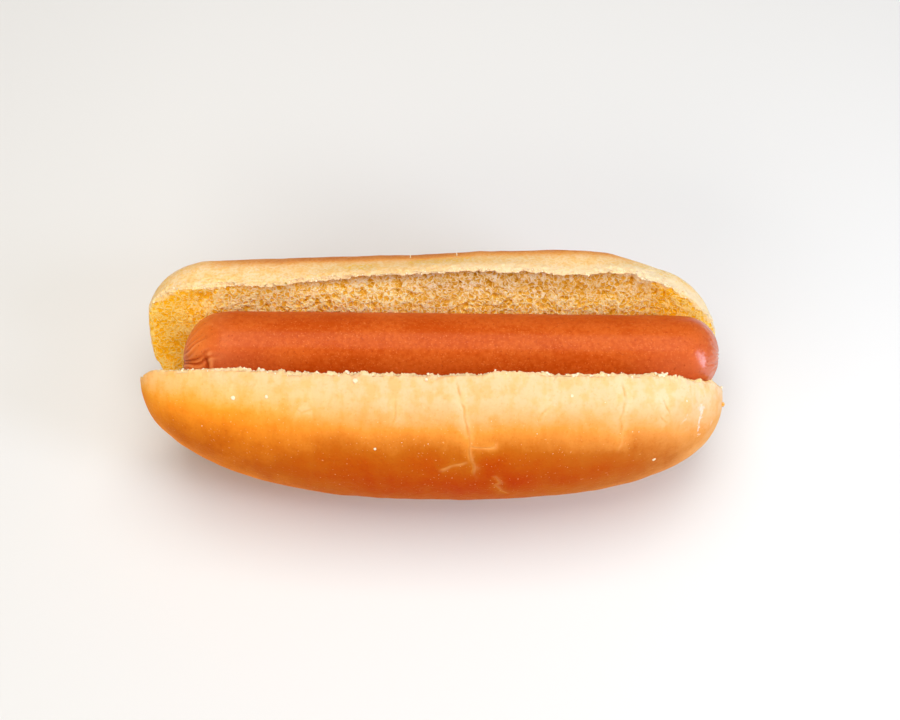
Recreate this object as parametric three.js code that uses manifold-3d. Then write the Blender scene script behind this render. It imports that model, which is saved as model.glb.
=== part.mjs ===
// A hot dog: a frankfurter lying in a soft bun that is slit along one side and opened on its hinge.
//
// Units are millimetres. X runs along the bun, +Z is up and -Y is the side of the domed half.
// The bun is made as a closed loaf, standing on its hinge with the slit upright, in the plane Y = 0:
// the domed top crust faces -Y and the flatter base faces +Y. It is then split, and each half is
// turned outwards about the bottom of the slit, as a hand opens it.

import * as THREE from "three";
import { mergeVertices } from "three/addons/utils/BufferGeometryUtils.js";
import Module from "manifold-3d";

// ---------------------------------------------------------------- driving dimensions

const BUN_LENGTH = 156; // tip to tip
const BUN_WIDTH = 51; // from the hinge to the slit's mouth, in the plane of the slit
const DOME_HEIGHT = 29; // from the slit to the crown of the domed half
const BASE_HEIGHT = 20.5; // from the slit to the underside of the base half
const HINGE_DEPTH = 9; // bread left uncut below the slit
const WIDTH_TAPER = 0.04; // share by which the bun is wider at its right end than at its middle
const LEFT_TIP_RISE = 7; // how far the left tip bends towards the slit's mouth
const RIGHT_TIP_DROP = 5; // how far the right tip bends towards the hinge

// How far each half is turned outwards, in degrees: at the middle, how much more at the right tip
// and less at the left, and how much less at both tips, where the crust holds the slit shut.
const DOME_LEAN = { middle: 16.5, skew: 1.2, ends: 2.5 };
const BASE_LEAN = { middle: 28, skew: 4.2, ends: 1.2 };
const FLAT_SPOT = 1.1; // how deep the soft crust settles where the bun rests

const FRANK_LENGTH = 142.8;
const FRANK_DIAMETER = 21;
const FRANK_SHIFT = 4.6; // the frankfurter lies nearer to the bun's right end
const FRANK_HEIGHT = 25.8; // its axis above the bottom of the slit
const FRANK_LEAN = 5; // degrees from upright of the line from the slit's bottom to its axis
const FRANK_DIP = 1.2; // degrees by which its right end sinks, where the bun is open wider
const LEFT_CAP = 13; // length of its rounded left end
const RIGHT_CAP = 10; // length of its blunter right end
const SEAT_GAP = 0.3; // between the frankfurter and the crumb that it presses into

// How square each outline is: 2 is an ellipse, and more is boxier. The loaf's two ends differ.
const SLIT_OUTLINE = { left: 3.3, right: 3.6 }; // seen square to the slit
const DOME_PROFILE = { left: 2.2, right: 2.6 }; // the crown, seen from the side
const BASE_PROFILE = { left: 3.7, right: 3.6 };
const DOME_SECTION = { hinge: 2.4, mouth: 2.4 }; // across the loaf
const BASE_SECTION = { hinge: 2.6, mouth: 3.7 };

const LOAF_RINGS = 44; // from end to end
const LOAF_SIDES = 44; // around
const FRANK_STATIONS = 34; // from end to end
const FRANK_SIDES = 42;
const CRUMB_STEP = 3.3; // spacing of the points that roughen a cut face
const CRUMB_ROUGHNESS = 0.9; // how far the torn crumb stands in or out of the slit's plane
const LIP_REACH = 1.4; // how far the base half's rim curls over its crumb
const LIP_DEPTH = 3.6; // width of that rim

// ---------------------------------------------------------------- solids

const wasm = await Module();
wasm.setup();

const WELD = 1e-4; // vertices nearer than this are one

// The solid that a closed geometry bounds.
function solidFrom(geometry) {
  const bare = new THREE.BufferGeometry();
  bare.setAttribute("position", geometry.getAttribute("position"));
  bare.setIndex(geometry.getIndex());
  const welded = mergeVertices(bare, WELD);
  const corners = welded.getIndex().array;
  const triVerts = [];
  for (let i = 0; i < corners.length; i += 3) {
    const [a, b, c] = corners.slice(i, i + 3);
    if (a !== b && b !== c && c !== a) triVerts.push(a, b, c);
  }
  return new wasm.Manifold(
    new wasm.Mesh({
      numProp: 3,
      vertProperties: new Float32Array(welded.getAttribute("position").array),
      triVerts: new Uint32Array(triVerts),
    }),
  );
}

function geometryFrom(solid) {
  const mesh = solid.getMesh();
  const geometry = new THREE.BufferGeometry();
  geometry.setAttribute("position", new THREE.BufferAttribute(mesh.vertProperties, 3));
  geometry.setIndex(new THREE.BufferAttribute(mesh.triVerts, 1));
  geometry.computeVertexNormals();
  return geometry;
}

// Moves each vertex of a geometry, by a function that changes the point it is given.
function sculpt(geometry, move) {
  const position = geometry.getAttribute("position");
  const point = new THREE.Vector3();
  for (let i = 0; i < position.count; i++) {
    point.fromBufferAttribute(position, i);
    move(point);
    position.setXYZ(i, point.x, point.y, point.z);
  }
  return geometry;
}

const { degToRad, lerp, smoothstep } = THREE.MathUtils;

// Height of a superellipse of half-width 1 at u: 1 in the middle, and 0 where u is 1 or -1.
function superellipse(u, squareness) {
  return Math.pow(Math.max(0, 1 - Math.pow(Math.abs(u), squareness)), 1 / squareness);
}

// Keeps the sign of a value and raises its size to a power.
function signedPower(value, power) {
  return Math.sign(value) * Math.pow(Math.abs(value), power);
}

// ---------------------------------------------------------------- torn crumb

// A fixed pseudo-random number from 0 to 1 for each pair of whole numbers.
function scatter(i, j) {
  let h = Math.imul(i, 374761393) + Math.imul(j, 668265263);
  h = Math.imul(h ^ (h >>> 13), 1274126177);
  return ((h ^ (h >>> 16)) >>> 0) / 4294967296;
}

// Smooth noise from -1 to 1, with bumps about one unit across.
function bumps(x, y) {
  const i = Math.floor(x);
  const j = Math.floor(y);
  const u = smoothstep(x - i, 0, 1);
  const v = smoothstep(y - j, 0, 1);
  const near = lerp(scatter(i, j), scatter(i + 1, j), u);
  const far = lerp(scatter(i, j + 1), scatter(i + 1, j + 1), u);
  return 2 * lerp(near, far, v) - 1;
}

const COARSE_CRAG = 9; // breadth of the broad hollows in the crumb
const FINE_CRAG = 4.5;
const DOME_CRAGS = 11; // start of each face's own stretch of noise
const BASE_CRAGS = 47;

// How far a cut face stands out of the slit's plane at x along the bun and z above the hinge side.
function crags(x, z, start) {
  const broad = bumps(x / COARSE_CRAG + start, z / COARSE_CRAG);
  const fine = bumps(x / FINE_CRAG, z / FINE_CRAG + start);
  const fromHinge = smoothstep(z, HINGE_DEPTH, HINGE_DEPTH + COARSE_CRAG);
  return CRUMB_ROUGHNESS * fromHinge * (0.5 * broad + 0.5 * fine);
}

// ---------------------------------------------------------------- bun

const HALF_LENGTH = BUN_LENGTH / 2;
const HALF_WIDTH = BUN_WIDTH / 2;

// The squareness at the end of the bun that u lies towards, where u is -1 at the left tip and 1 at the right.
function towards(u, ends) {
  return u < 0 ? ends.left : ends.right;
}

function halfWidthAt(u) {
  return HALF_WIDTH * (1 + WIDTH_TAPER * u) * superellipse(u, towards(u, SLIT_OUTLINE));
}

// Height above the hinge side of the line that joins the bun's tips.
function spineAt(u) {
  return u < 0
    ? HALF_WIDTH + LEFT_TIP_RISE * Math.pow(-u, 3)
    : HALF_WIDTH - RIGHT_TIP_DROP * Math.pow(u, 6);
}

// The closed loaf: a ball whose rings are stretched into superellipses, with its poles at the tips.
function closedLoaf() {
  const ball = new THREE.SphereGeometry(1, LOAF_SIDES, LOAF_RINGS);
  ball.rotateZ(-Math.PI / 2);
  return sculpt(ball, (p) => {
    const u = p.x;
    const ring = Math.hypot(p.y, p.z);
    const up = ring < WELD ? 0 : p.z / ring;
    const front = ring < WELD ? 0 : -p.y / ring;
    const isDome = front > 0;
    const section = isDome ? DOME_SECTION : BASE_SECTION;
    const power = 2 / (up > 0 ? section.mouth : section.hinge);
    const height = isDome
      ? DOME_HEIGHT * superellipse(u, towards(u, DOME_PROFILE))
      : BASE_HEIGHT * superellipse(u, towards(u, BASE_PROFILE));
    p.x = HALF_LENGTH * u;
    p.y = -height * signedPower(front, power);
    p.z = spineAt(u) + halfWidthAt(u) * signedPower(up, power);
  });
}

// A block that holds one half of the loaf. Its face in the slit's plane is torn by the relief given.
function halfBlock(side, relief) {
  const length = BUN_LENGTH + 4 * CRUMB_STEP;
  const height = BUN_WIDTH + 4 * CRUMB_STEP;
  const depth = 2 * DOME_HEIGHT;
  const block = new THREE.BoxGeometry(
    length,
    depth,
    height,
    Math.round(length / CRUMB_STEP),
    1,
    Math.round(height / CRUMB_STEP),
  );
  block.translate(0, (side * depth) / 2, HALF_WIDTH);
  return sculpt(block, (p) => {
    if (Math.abs(p.y) < WELD) p.y = relief(p.x, p.z);
  });
}

// The base half's rim curls forward over its crumb, and the crumb just below is hollowed.
function curlOfRim(x, z) {
  const u = THREE.MathUtils.clamp(x / HALF_LENGTH, -1, 1);
  const belowRim = spineAt(u) + halfWidthAt(u) - z;
  const rim = 1 - smoothstep(belowRim, 0, LIP_DEPTH);
  const hollow = Math.exp(-Math.pow((belowRim - 1.7 * LIP_DEPTH) / LIP_DEPTH, 2));
  const fade = 1 - smoothstep(Math.abs(u), 0.75, 0.95);
  return LIP_REACH * fade * (rim - 0.7 * hollow);
}

// Turns a half of the loaf outwards about the bottom of the slit, which becomes the origin.
function turnOut(geometry, lean, side) {
  return sculpt(geometry, (p) => {
    const u = p.x / HALF_LENGTH;
    const angle = side * degToRad(lean.middle + lean.skew * u - lean.ends * u * u);
    const above = p.z - HINGE_DEPTH;
    const out = p.y;
    p.y = out * Math.cos(angle) + above * Math.sin(angle);
    p.z = above * Math.cos(angle) - out * Math.sin(angle);
  });
}

function openHalf(side, lean, relief) {
  const loaf = solidFrom(turnOut(closedLoaf(), lean, side));
  const block = solidFrom(turnOut(halfBlock(side, relief), lean, side));
  return loaf.intersect(block);
}

function openBun() {
  const dome = openHalf(-1, DOME_LEAN, (x, z) => crags(x, z, DOME_CRAGS));
  const base = openHalf(1, BASE_LEAN, (x, z) => crags(x, z, BASE_CRAGS) - curlOfRim(x, z));
  return dome.add(base);
}

// ---------------------------------------------------------------- frankfurter

const PUCKERS = 8; // creases gathered at each end
const PUCKER_DEPTH = 0.08; // as a share of the radius
const NOSE = { front: 3, down: 1.8, fade: 2.5 }; // how far its left tip is pulled off the axis

function capShape(fromTip, cap, squareness) {
  return fromTip >= cap ? 1 : superellipse(1 - fromTip / cap, squareness);
}

// Grown by a clearance all round, it is the cutter for its own seat in the bun.
function frankfurter(clearance = 0) {
  const half = FRANK_LENGTH / 2 + clearance;
  const radius = FRANK_DIAMETER / 2 + clearance;
  const profile = [];
  for (let i = 0; i <= FRANK_STATIONS; i++) {
    const along = -half * Math.cos((Math.PI * i) / FRANK_STATIONS);
    const left = capShape(along + half, LEFT_CAP, 2.4);
    const right = capShape(half - along, RIGHT_CAP, 2.2);
    const isTip = i === 0 || i === FRANK_STATIONS;
    profile.push(new THREE.Vector2(isTip ? 0 : radius * Math.min(left, right), along));
  }
  const body = new THREE.LatheGeometry(profile, FRANK_SIDES);
  body.rotateZ(-Math.PI / 2);
  return sculpt(body, (p) => {
    const fromLeft = p.x + half;
    const nearLeft = 1 - smoothstep(fromLeft, 0, LEFT_CAP);
    const nearRight = 1 - smoothstep(half - p.x, 0, 0.7 * RIGHT_CAP);
    const turn = Math.atan2(p.z, p.y);
    const crease = Math.sqrt(Math.abs(Math.sin((PUCKERS * turn) / 2))) - 1;
    const gather = 1 + PUCKER_DEPTH * crease * (1.6 * nearLeft + nearRight);
    const pull = Math.exp(-fromLeft / NOSE.fade);
    p.y = p.y * gather - NOSE.front * pull;
    p.z = p.z * gather - NOSE.down * pull;
  });
}

// ---------------------------------------------------------------- assembly

// Places the frankfurter over the bottom of the slit, which is the origin here.
const place = new THREE.Object3D();
place.position.set(
  FRANK_SHIFT,
  FRANK_HEIGHT * Math.sin(degToRad(FRANK_LEAN)),
  FRANK_HEIGHT * Math.cos(degToRad(FRANK_LEAN)),
);
place.rotation.y = degToRad(FRANK_DIP);
place.updateMatrix();

const seat = solidFrom(frankfurter(SEAT_GAP).applyMatrix4(place.matrix));
const unsettled = openBun().subtract(seat);

// The bun settles on the floor: what hangs below it is pressed flat.
const { min, max } = unsettled.boundingBox();
const floor = min[2] + FLAT_SPOT;
const floorBlock = new THREE.BoxGeometry(2 * BUN_LENGTH, 2 * BUN_LENGTH, BUN_WIDTH);
floorBlock.translate(0, 0, floor - BUN_WIDTH / 2);
const settled = unsettled.subtract(solidFrom(floorBlock));

const bun = new THREE.Mesh(
  geometryFrom(settled),
  new THREE.MeshStandardMaterial({ color: "#e39a3c", roughness: 0.6, metalness: 0 }),
);
bun.name = "bun";

const frank = new THREE.Mesh(
  frankfurter(),
  new THREE.MeshStandardMaterial({ color: "#c8551f", roughness: 0.4, metalness: 0 }),
);
frank.name = "frankfurter";
frank.position.copy(place.position);
frank.rotation.copy(place.rotation);

// The origin is on the floor, under the middle of the whole.
const hotDog = new THREE.Group();
hotDog.add(bun, frank);
hotDog.position.set(-(min[0] + max[0]) / 2, -(min[1] + max[1]) / 2, -floor);

export default hotDog;
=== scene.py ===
import math

import bmesh
import bpy
import numpy as np
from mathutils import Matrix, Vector, noise
from mathutils.bvhtree import BVHTree


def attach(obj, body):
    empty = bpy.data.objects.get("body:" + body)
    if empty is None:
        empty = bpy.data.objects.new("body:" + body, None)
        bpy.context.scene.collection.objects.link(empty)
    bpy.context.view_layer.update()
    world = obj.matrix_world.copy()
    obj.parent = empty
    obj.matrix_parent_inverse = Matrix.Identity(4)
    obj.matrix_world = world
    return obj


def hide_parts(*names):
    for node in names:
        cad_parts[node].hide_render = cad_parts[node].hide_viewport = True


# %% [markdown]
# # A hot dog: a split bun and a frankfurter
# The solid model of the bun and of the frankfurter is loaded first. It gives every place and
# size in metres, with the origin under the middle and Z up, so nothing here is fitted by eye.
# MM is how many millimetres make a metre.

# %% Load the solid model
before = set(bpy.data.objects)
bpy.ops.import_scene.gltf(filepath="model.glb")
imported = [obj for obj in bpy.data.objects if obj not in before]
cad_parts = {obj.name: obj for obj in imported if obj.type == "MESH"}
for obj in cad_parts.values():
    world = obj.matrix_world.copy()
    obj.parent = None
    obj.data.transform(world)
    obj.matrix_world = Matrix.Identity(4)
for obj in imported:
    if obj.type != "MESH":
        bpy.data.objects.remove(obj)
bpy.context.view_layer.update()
MM = 1000

# %% [markdown]
# The colours of food are strong, and the default view would wash them out, because it is made
# for very bright lights. The Standard view shows a colour as it is set.

# %% Show colours as they are set
bpy.context.scene.view_settings.view_transform = "Standard"

# %% [markdown]
# ## Reading and writing points
# Bread and meat are sculpted in code: a fine mesh is made from the solid, and then its points
# are moved by small amounts. Millimetres are easier to think in than metres at this size, so
# these helpers read the points as an array in millimetres and write them back in metres. A mask is
# one number at every point, stored on the mesh under a name.

# %% Helpers for the points of a mesh
def read_vectors(items, field):
    flat = np.empty(len(items) * 3)
    items.foreach_get(field, flat)
    return flat.reshape(-1, 3)


def read_mesh(mesh):
    """The points, in millimetres, and their normals."""
    return read_vectors(mesh.vertices, "co") * MM, read_vectors(mesh.vertex_normals, "vector")


def write_points(mesh, points):
    mesh.vertices.foreach_set("co", (points / MM).ravel())
    mesh.update()


def write_masks(mesh, masks):
    for name, values in masks.items():
        layer = mesh.attributes.new(name, "FLOAT", "POINT")
        layer.data.foreach_set("value", np.clip(values, -1, 1).astype(np.float32))


def tell(label, length):
    print(label + ", mm:", round(float(length), 2))


# %% [markdown]
# `ease` goes from 0 to 1 between two limits, without a corner at either end. It is the brush edge
# of nearly every mask below. `bump` is 1 at its centre and fades to 0 around it.

# %% Helpers for soft edges
def ease(low, high, values):
    share = np.clip((values - low) / (high - low), 0, 1)
    return share * share * (3 - 2 * share)


def bump(values, centre, width):
    return np.exp(-(((values - centre) / width) ** 2))


# %% [markdown]
# Bread is never even. Perlin noise gives soft lumps, between about -1 and 1, and each use takes
# its own seed, which only shifts the pattern. The noise that gives a whole vector starts from the
# clock unless it is seeded, so that is done here, and nothing changes from run to run.

# %% Helper for soft lumps
noise.seed_set(1)


def lumps(points, size, seed):
    shift = Vector((seed * 17.3, seed * 5.1, seed * 9.7))
    return np.array([noise.noise(Vector(point) / size + shift) for point in points])


# %% [markdown]
# Crumb is a foam of bubbles that grew until their walls met. Voronoi noise is that pattern: each
# point belongs to its nearest seed, and the difference between the nearest and the second
# nearest distance is 0 on the wall between two bubbles. The seed's own number makes some
# bubbles open and deep, and others shallow.

# %% Helper for bubbles
def nearest_seeds(points, size, shift):
    """The distances to the two nearest seeds, and the nearest one's number, from 0 to 1."""
    found = np.empty((3, len(points)))
    for place, point in enumerate(points):
        distances, seeds = noise.voronoi(Vector(point) / size + Vector(shift))
        found[:, place] = distances[0], distances[1], noise.cell(seeds[0] * 9.1)
    return found


def bubbles(points, size, seed):
    nearest, second, number = nearest_seeds(points, size, (seed * 3.7, seed * 11.9, seed * 7.3))
    return second - nearest, number


def cup(wall, width):
    return 1 - np.exp(-wall / width)


# %% [markdown]
# ## The loaf's own directions
# The bun was baked closed, sliced from one side and then opened like a book, so a point of it
# is easiest to name in the closed loaf: `across`, how far it is from the slice, and `above`, how
# far it is from the bottom of the slit. Each half leans away from the slit by an angle that
# changes a little along the bun. The lean and the outline repeat the solid model's values.

# %% The opened loaf's numbers, in millimetres and degrees
HALF_LENGTH = 78.0
HALF_WIDTH = 25.5
SLIT_Y = 0.369
SLIT_Z = 10.429
SLIT_OFF_CENTRE = 9.0
DOME = -1
BASE = 1
MIDDLE_OF_V = math.tan(math.radians(5.75))


def lean_angle(x, side):
    share = x / HALF_LENGTH
    dome_lean = 16.5 + 1.2 * share - 2.5 * share * share
    base_lean = 28.0 + 4.2 * share - 1.2 * share * share
    return side * np.radians(np.where(side < 0, dome_lean, base_lean))


def unfold(points):
    x = points[:, 0]
    y = points[:, 1] - SLIT_Y
    z = points[:, 2] - SLIT_Z
    in_dome = np.where(z > 0, y < z * MIDDLE_OF_V, y < 0)
    side = np.where(in_dome, DOME, BASE)
    angle = lean_angle(x, side)
    out = y * np.cos(angle) - z * np.sin(angle)
    above = y * np.sin(angle) + z * np.cos(angle)
    return side, side * out, above, angle


def fold(x, across, above, side):
    angle = float(lean_angle(np.array(x), np.array(side)))
    out = side * across
    y = SLIT_Y + out * math.cos(angle) + above * math.sin(angle)
    z = SLIT_Z + above * math.cos(angle) - out * math.sin(angle)
    return Vector((x, y, z)) / MM


# %% [markdown]
# The rim is the mouth's edge, where the slice meets the crust. Its height follows the loaf's
# outline. The turn is the angle round the closed loaf, 0 at the rim, 90 on the crown of the
# dome or under the base, and 180 on the side that wasn't sliced. How brown a crust is follows
# that angle, because the sides of such buns bake against each other and stay pale.

# %% The rim and the turn
def rounding(share, power):
    return np.clip(1 - np.abs(share) ** power, 0, 1) ** (1 / power)


def half_width(x):
    share = np.clip(x / HALF_LENGTH, -1, 1)
    return HALF_WIDTH * (1 + 0.04 * share) * rounding(share, np.where(share < 0, 3.3, 3.6))


def rim_height(x):
    share = np.clip(x / HALF_LENGTH, -1, 1)
    spine = np.where(share < 0, 7 * (-share) ** 3, -5 * share**6)
    return HALF_WIDTH + spine + half_width(x) - SLIT_OFF_CENTRE


def turn_round(x, across, above, side):
    share = x / HALF_LENGTH
    dome_depth = 29.0 * rounding(share, np.where(share < 0, 2.2, 2.6))
    base_depth = 20.5 * rounding(share, np.where(share < 0, 3.7, 3.6))
    depth = np.maximum(np.where(side < 0, dome_depth, base_depth), 0.5)
    level = 1 + (above - rim_height(x)) / np.maximum(half_width(x), 0.5)
    return np.degrees(np.arctan2(np.maximum(across, 0) / depth, level))


tell("rim above the slit's bottom at mid-length", rim_height(0.0))

# %% [markdown]
# ## The bread's mesh
# The solid's mesh has long thin triangles where it was cut, and sculpting needs even small
# faces. A voxel remesh lays a new even skin over the whole shape. It works on a copy whose
# doubled points are merged, because the solid's own mesh is loose triangles.

# %% Helpers to copy a solid and lay a new skin on it
WELD_DISTANCE = 0.000005


def mesh_from(shape, name):
    mesh = bpy.data.meshes.new(name)
    shape.to_mesh(mesh)
    shape.free()
    return mesh


def add_object(name, data):
    made = bpy.data.objects.new(name, data)
    bpy.context.scene.collection.objects.link(made)
    return made


def merged_copy(node_name):
    shape = bmesh.new()
    shape.from_mesh(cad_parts[node_name].data)
    bmesh.ops.remove_doubles(shape, verts=shape.verts, dist=WELD_DISTANCE)
    return mesh_from(shape, node_name + "_copy")


def lay_new_skin(mesh, voxel_mm):
    worker = add_object("worker", mesh)
    skin = worker.modifiers.new("skin", "REMESH")
    skin.mode = "VOXEL"
    skin.voxel_size = voxel_mm / MM
    graph = bpy.context.evaluated_depsgraph_get()
    skinned = bpy.data.meshes.new_from_object(worker.evaluated_get(graph))
    bpy.data.objects.remove(worker)
    return skinned


bread_mesh = lay_new_skin(merged_copy("bun"), voxel_mm=1.45)
print("bread skin:", len(bread_mesh.polygons), "faces")

# %% [markdown]
# The crust is a smooth skin, so the solid's flat facets are rubbed out of it. The cut faces keep
# their torn relief. A point is on the crust when its normal doesn't face the slit.

# %% Tell crust from cut face
def facing_slit(points, normals):
    side, across, above, angle = unfold(points)
    toward_slit = -side * (normals[:, 1] * np.cos(angle) - normals[:, 2] * np.sin(angle))
    upward = normals[:, 1] * np.sin(angle) + normals[:, 2] * np.cos(angle)
    near = ease(6.0, 4.0, across) * ease(-4.0, 0.0, above)
    return toward_slit, upward, near


def smooth_out(shape, verts, rounds):
    for _ in range(rounds):
        bmesh.ops.smooth_vert(
            shape, verts=verts, factor=0.5, use_axis_x=True, use_axis_y=True, use_axis_z=True
        )


bread_shape = bmesh.new()
bread_shape.from_mesh(bread_mesh)
bread_shape.verts.ensure_lookup_table()
toward_slit, upward, near_slit = facing_slit(*read_mesh(bread_mesh))
on_crust = (toward_slit < 0.2) | (near_slit < 0.3)
crust_verts = [bread_shape.verts[i] for i in np.flatnonzero(on_crust)]
smooth_out(bread_shape, crust_verts, rounds=14)
smooth_out(bread_shape, bread_shape.verts[:], rounds=2)
print("crust points smoothed:", len(crust_verts))

# %% [markdown]
# ## Creases and smears on the crust
# Handling has cracked the thin crust of the dome: one long crack with branches runs down from
# the rim, and several finer ones stand beside it. Near the right end something pale has dried on
# it, as a smear and two short strokes. Each is a line of points in the closed loaf's directions,
# (x, above, across), with a strength. They are listed before the mesh is refined, because the
# faces under them have to be small enough.

# %% Where the creases and smears run
CREASES = [
    (1.0, [(5.2, 42.3, 0.8), (7.2, 41.7, 7.1), (8.2, 40.5, 12.8), (8.7, 39.1, 16.4),
           (9.0, 35.7, 21.6), (10.0, 34.4, 23.0), (9.8, 32.5, 24.6), (11.4, 30.0, 26.1)]),
    (0.9, [(9.0, 38.4, 17.9), (12.0, 38.0, 18.3), (15.3, 38.2, 18.1), (15.6, 39.2, 16.1)]),
    (0.8, [(9.0, 35.7, 21.6), (3.6, 34.8, 22.6), (0.5, 33.2, 24.0)]),
    (0.8, [(14.7, 32.4, 24.6), (17.1, 29.8, 26.1), (15.8, 28.6, 26.7), (19.4, 21.9, 28.4)]),
    (0.6, [(30.5, 41.7, 6.6), (28.0, 41.3, 9.5), (25.4, 40.6, 12.5)]),
    (0.9, [(48.5, 41.2, 0.8), (48.2, 40.8, 3.3), (48.9, 40.4, 6.3), (48.4, 40.0, 9.1),
           (47.4, 39.5, 11.3), (48.0, 38.6, 13.2), (47.6, 36.4, 17.3), (45.7, 34.3, 20.1)]),
    (0.85, [(58.1, 38.8, 3.9), (59.7, 37.6, 7.9), (60.6, 36.5, 10.3)]),
    (0.75, [(57.9, 37.4, 10.4), (60.4, 35.6, 12.2)]),
    (0.65, [(-9.8, 41.7, 5.7), (-9.6, 40.8, 10.7), (-11.1, 40.0, 13.7)]),
    (0.75, [(-34.7, 40.8, 9.3), (-33.5, 40.5, 10.2), (-30.7, 40.9, 9.2)]),
]
SMEARS = [
    (1.0, [(69.7, 32.3, 6.8), (69.7, 31.5, 8.2), (69.2, 31.0, 9.9), (69.0, 29.7, 11.8),
           (69.1, 27.7, 13.6)]),
    (0.6, [(65.0, 34.2, 10.1), (63.7, 34.0, 11.8)]),
    (0.6, [(72.9, 25.9, 10.0), (72.7, 24.8, 11.6)]),
]


def along_line(points, line):
    """The distance from each point to the line, and how far along it that is, from 0 to 1."""
    corners = np.array(line)
    lengths = np.linalg.norm(np.diff(corners, axis=0), axis=1)
    run = np.concatenate([[0], np.cumsum(lengths)]) / lengths.sum()
    nearest = np.full(len(points), 99.0)
    where = np.zeros(len(points))
    for step, length in enumerate(lengths):
        start = corners[step]
        heading = (corners[step + 1] - start) / length
        travel = np.clip((points - start) @ heading, 0, length)
        distance = np.linalg.norm(points - start - travel[:, None] * heading, axis=1)
        closer = distance < nearest
        nearest[closer] = distance[closer]
        where[closer] = run[step] + travel[closer] / length * (run[step + 1] - run[step])
    return nearest, where


print("creases:", len(CREASES), "smears:", len(SMEARS))

# %% [markdown]
# ## Small faces where the detail is
# Small faces everywhere would be slow and heavy, so only some zones are divided. The base's cut
# face, the dome's rim and the strips under the creases get faces a fifth as wide, and the dome's
# cut face and the torn band beside the base's rim a third as wide. What the frankfurter covers
# keeps its large faces: each cut face shows above it, and past its ends. A face of more than
# LARGE_FACE square metres hasn't been divided yet.

# %% Divide the faces that carry detail
SHOWS_ABOVE = {BASE: 29.5, DOME: 31}
FRANK_MIDDLE_X = 6.5
LARGE_FACE = 9e-7


def face_centres(shape):
    return np.array([face.calc_center_median() for face in shape.faces]) * MM


def divide(shape, chosen, cuts):
    faces = [face for face, wanted in zip(shape.faces[:], chosen) if wanted]
    edges = {edge for face in faces for edge in face.edges}
    bmesh.ops.subdivide_edges(shape, edges=list(edges), cuts=cuts, use_grid_fill=True)
    return len(faces)


def open_crumb_zone(centres, side_wanted):
    side, across, above, _ = unfold(centres)
    past_ends = np.abs(centres[:, 0] - FRANK_MIDDLE_X) > 65.5
    showing = (above > SHOWS_ABOVE[side_wanted]) | (past_ends & (above > 3))
    return (side == side_wanted) & (across < 2.0) & (across > -4) & showing


def rim_zone(centres, side_wanted, reach):
    side, across, above, _ = unfold(centres)
    at_rim = above > rim_height(centres[:, 0]) - 2.0
    return (side == side_wanted) & at_rim & (across < reach) & (across > -4)


def crease_zone(centres):
    side, across, above, _ = unfold(centres)
    folded = np.stack([centres[:, 0], above, across], axis=1)
    nearest = np.min([along_line(folded, line)[0] for _, line in CREASES + SMEARS], axis=0)
    return (side == DOME) & (nearest < 1.3)


centres = face_centres(bread_shape)
smallest = open_crumb_zone(centres, BASE) | rim_zone(centres, DOME, 1.8) | crease_zone(centres)
smallest_faces = divide(bread_shape, smallest, cuts=4)
centres = face_centres(bread_shape)
undivided = [len(face.verts) == 4 and face.calc_area() > LARGE_FACE for face in bread_shape.faces]
small = open_crumb_zone(centres, DOME) | rim_zone(centres, BASE, 8)
small_faces = divide(bread_shape, small & undivided, cuts=2)
bmesh.ops.triangulate(bread_shape, faces=bread_shape.faces)
bmesh.ops.recalc_face_normals(bread_shape, faces=bread_shape.faces)
bread_shape.to_mesh(bread_mesh)
bread_shape.free()
print("divided:", smallest_faces, "and", small_faces, "faces; bread triangles:", len(bread_mesh.polygons))

# %% [markdown]
# ## Tearing the cut faces open
# The slice tore the bubbles open. Three sizes of bubble are laid over each other, and a point
# sinks deepest where it is inside a large and a middle bubble at once, so the walls are left
# standing as a web of strands. A cup rises fast beside its wall and is flat in the middle. The
# pattern is warped first, so that no wall is straight, and close under the rim it is drawn out
# upwards, because the crumb was pulled there as the bun opened. That also left a hollow under the
# base's rim.

# %% Dig the bubbles
PIT_DEPTH = 0.8
HOLLOW_DEPTH = 1.0
points, normals = read_mesh(bread_mesh)
x = points[:, 0]
side, across, above, angle = unfold(points)
on_base = side == BASE
on_dome = side == DOME
rim = rim_height(x)
toward_slit, upward, near_slit = facing_slit(points, normals)
cut_face = ease(0.25, 0.6, toward_slit) * near_slit
pulled = rim - 4.5
drawn = np.where(above > pulled, pulled + (above - pulled) * 0.42, above)
lookup = np.stack([x, side * 40 + across, drawn], axis=1)
showing = (above > 25) | (np.abs(x - FRANK_MIDDLE_X) > 63)
dug = np.flatnonzero((cut_face > 0.02) & (above > 1) & showing)
coarse_warp = np.array([noise.noise_vector(Vector(point) / 1.3) for point in lookup[dug]])
fine_warp = np.array([noise.noise_vector(Vector(point) / 0.5) for point in lookup[dug]])
bubble_place = lookup[dug] + 0.25 * coarse_warp + 0.1 * fine_warp
large_wall, large_number = bubbles(bubble_place, size=2.6, seed=1)
middle_wall, middle_number = bubbles(bubble_place, size=1.35, seed=2)
small_wall, small_number = bubbles(bubble_place, size=0.85, seed=3)
cups = np.sqrt(cup(large_wall, 0.12) * cup(middle_wall, 0.07))
chance = ease(0.2, 0.8, 0.5 * large_number + 0.5 * middle_number)
small_cups = cup(small_wall, 0.06) * (0.2 + 0.8 * small_number)
openness = 0.78 * cups * (0.3 + 0.7 * chance) + 0.22 * small_cups
end_softness = 1 - 0.5 * ease(60, 70, np.abs(x[dug]))
between_ends = ease(-66, -40, x) * ease(60, 42, x)
hollow = bump((above - rim)[dug], -2.4, 1.5) * (on_base * between_ends)[dug]
pit_depth = (PIT_DEPTH * openness + HOLLOW_DEPTH * hollow) * cut_face[dug] * end_softness
tell(f"{len(dug)} bubble points, the deepest pit", pit_depth.max())

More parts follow.
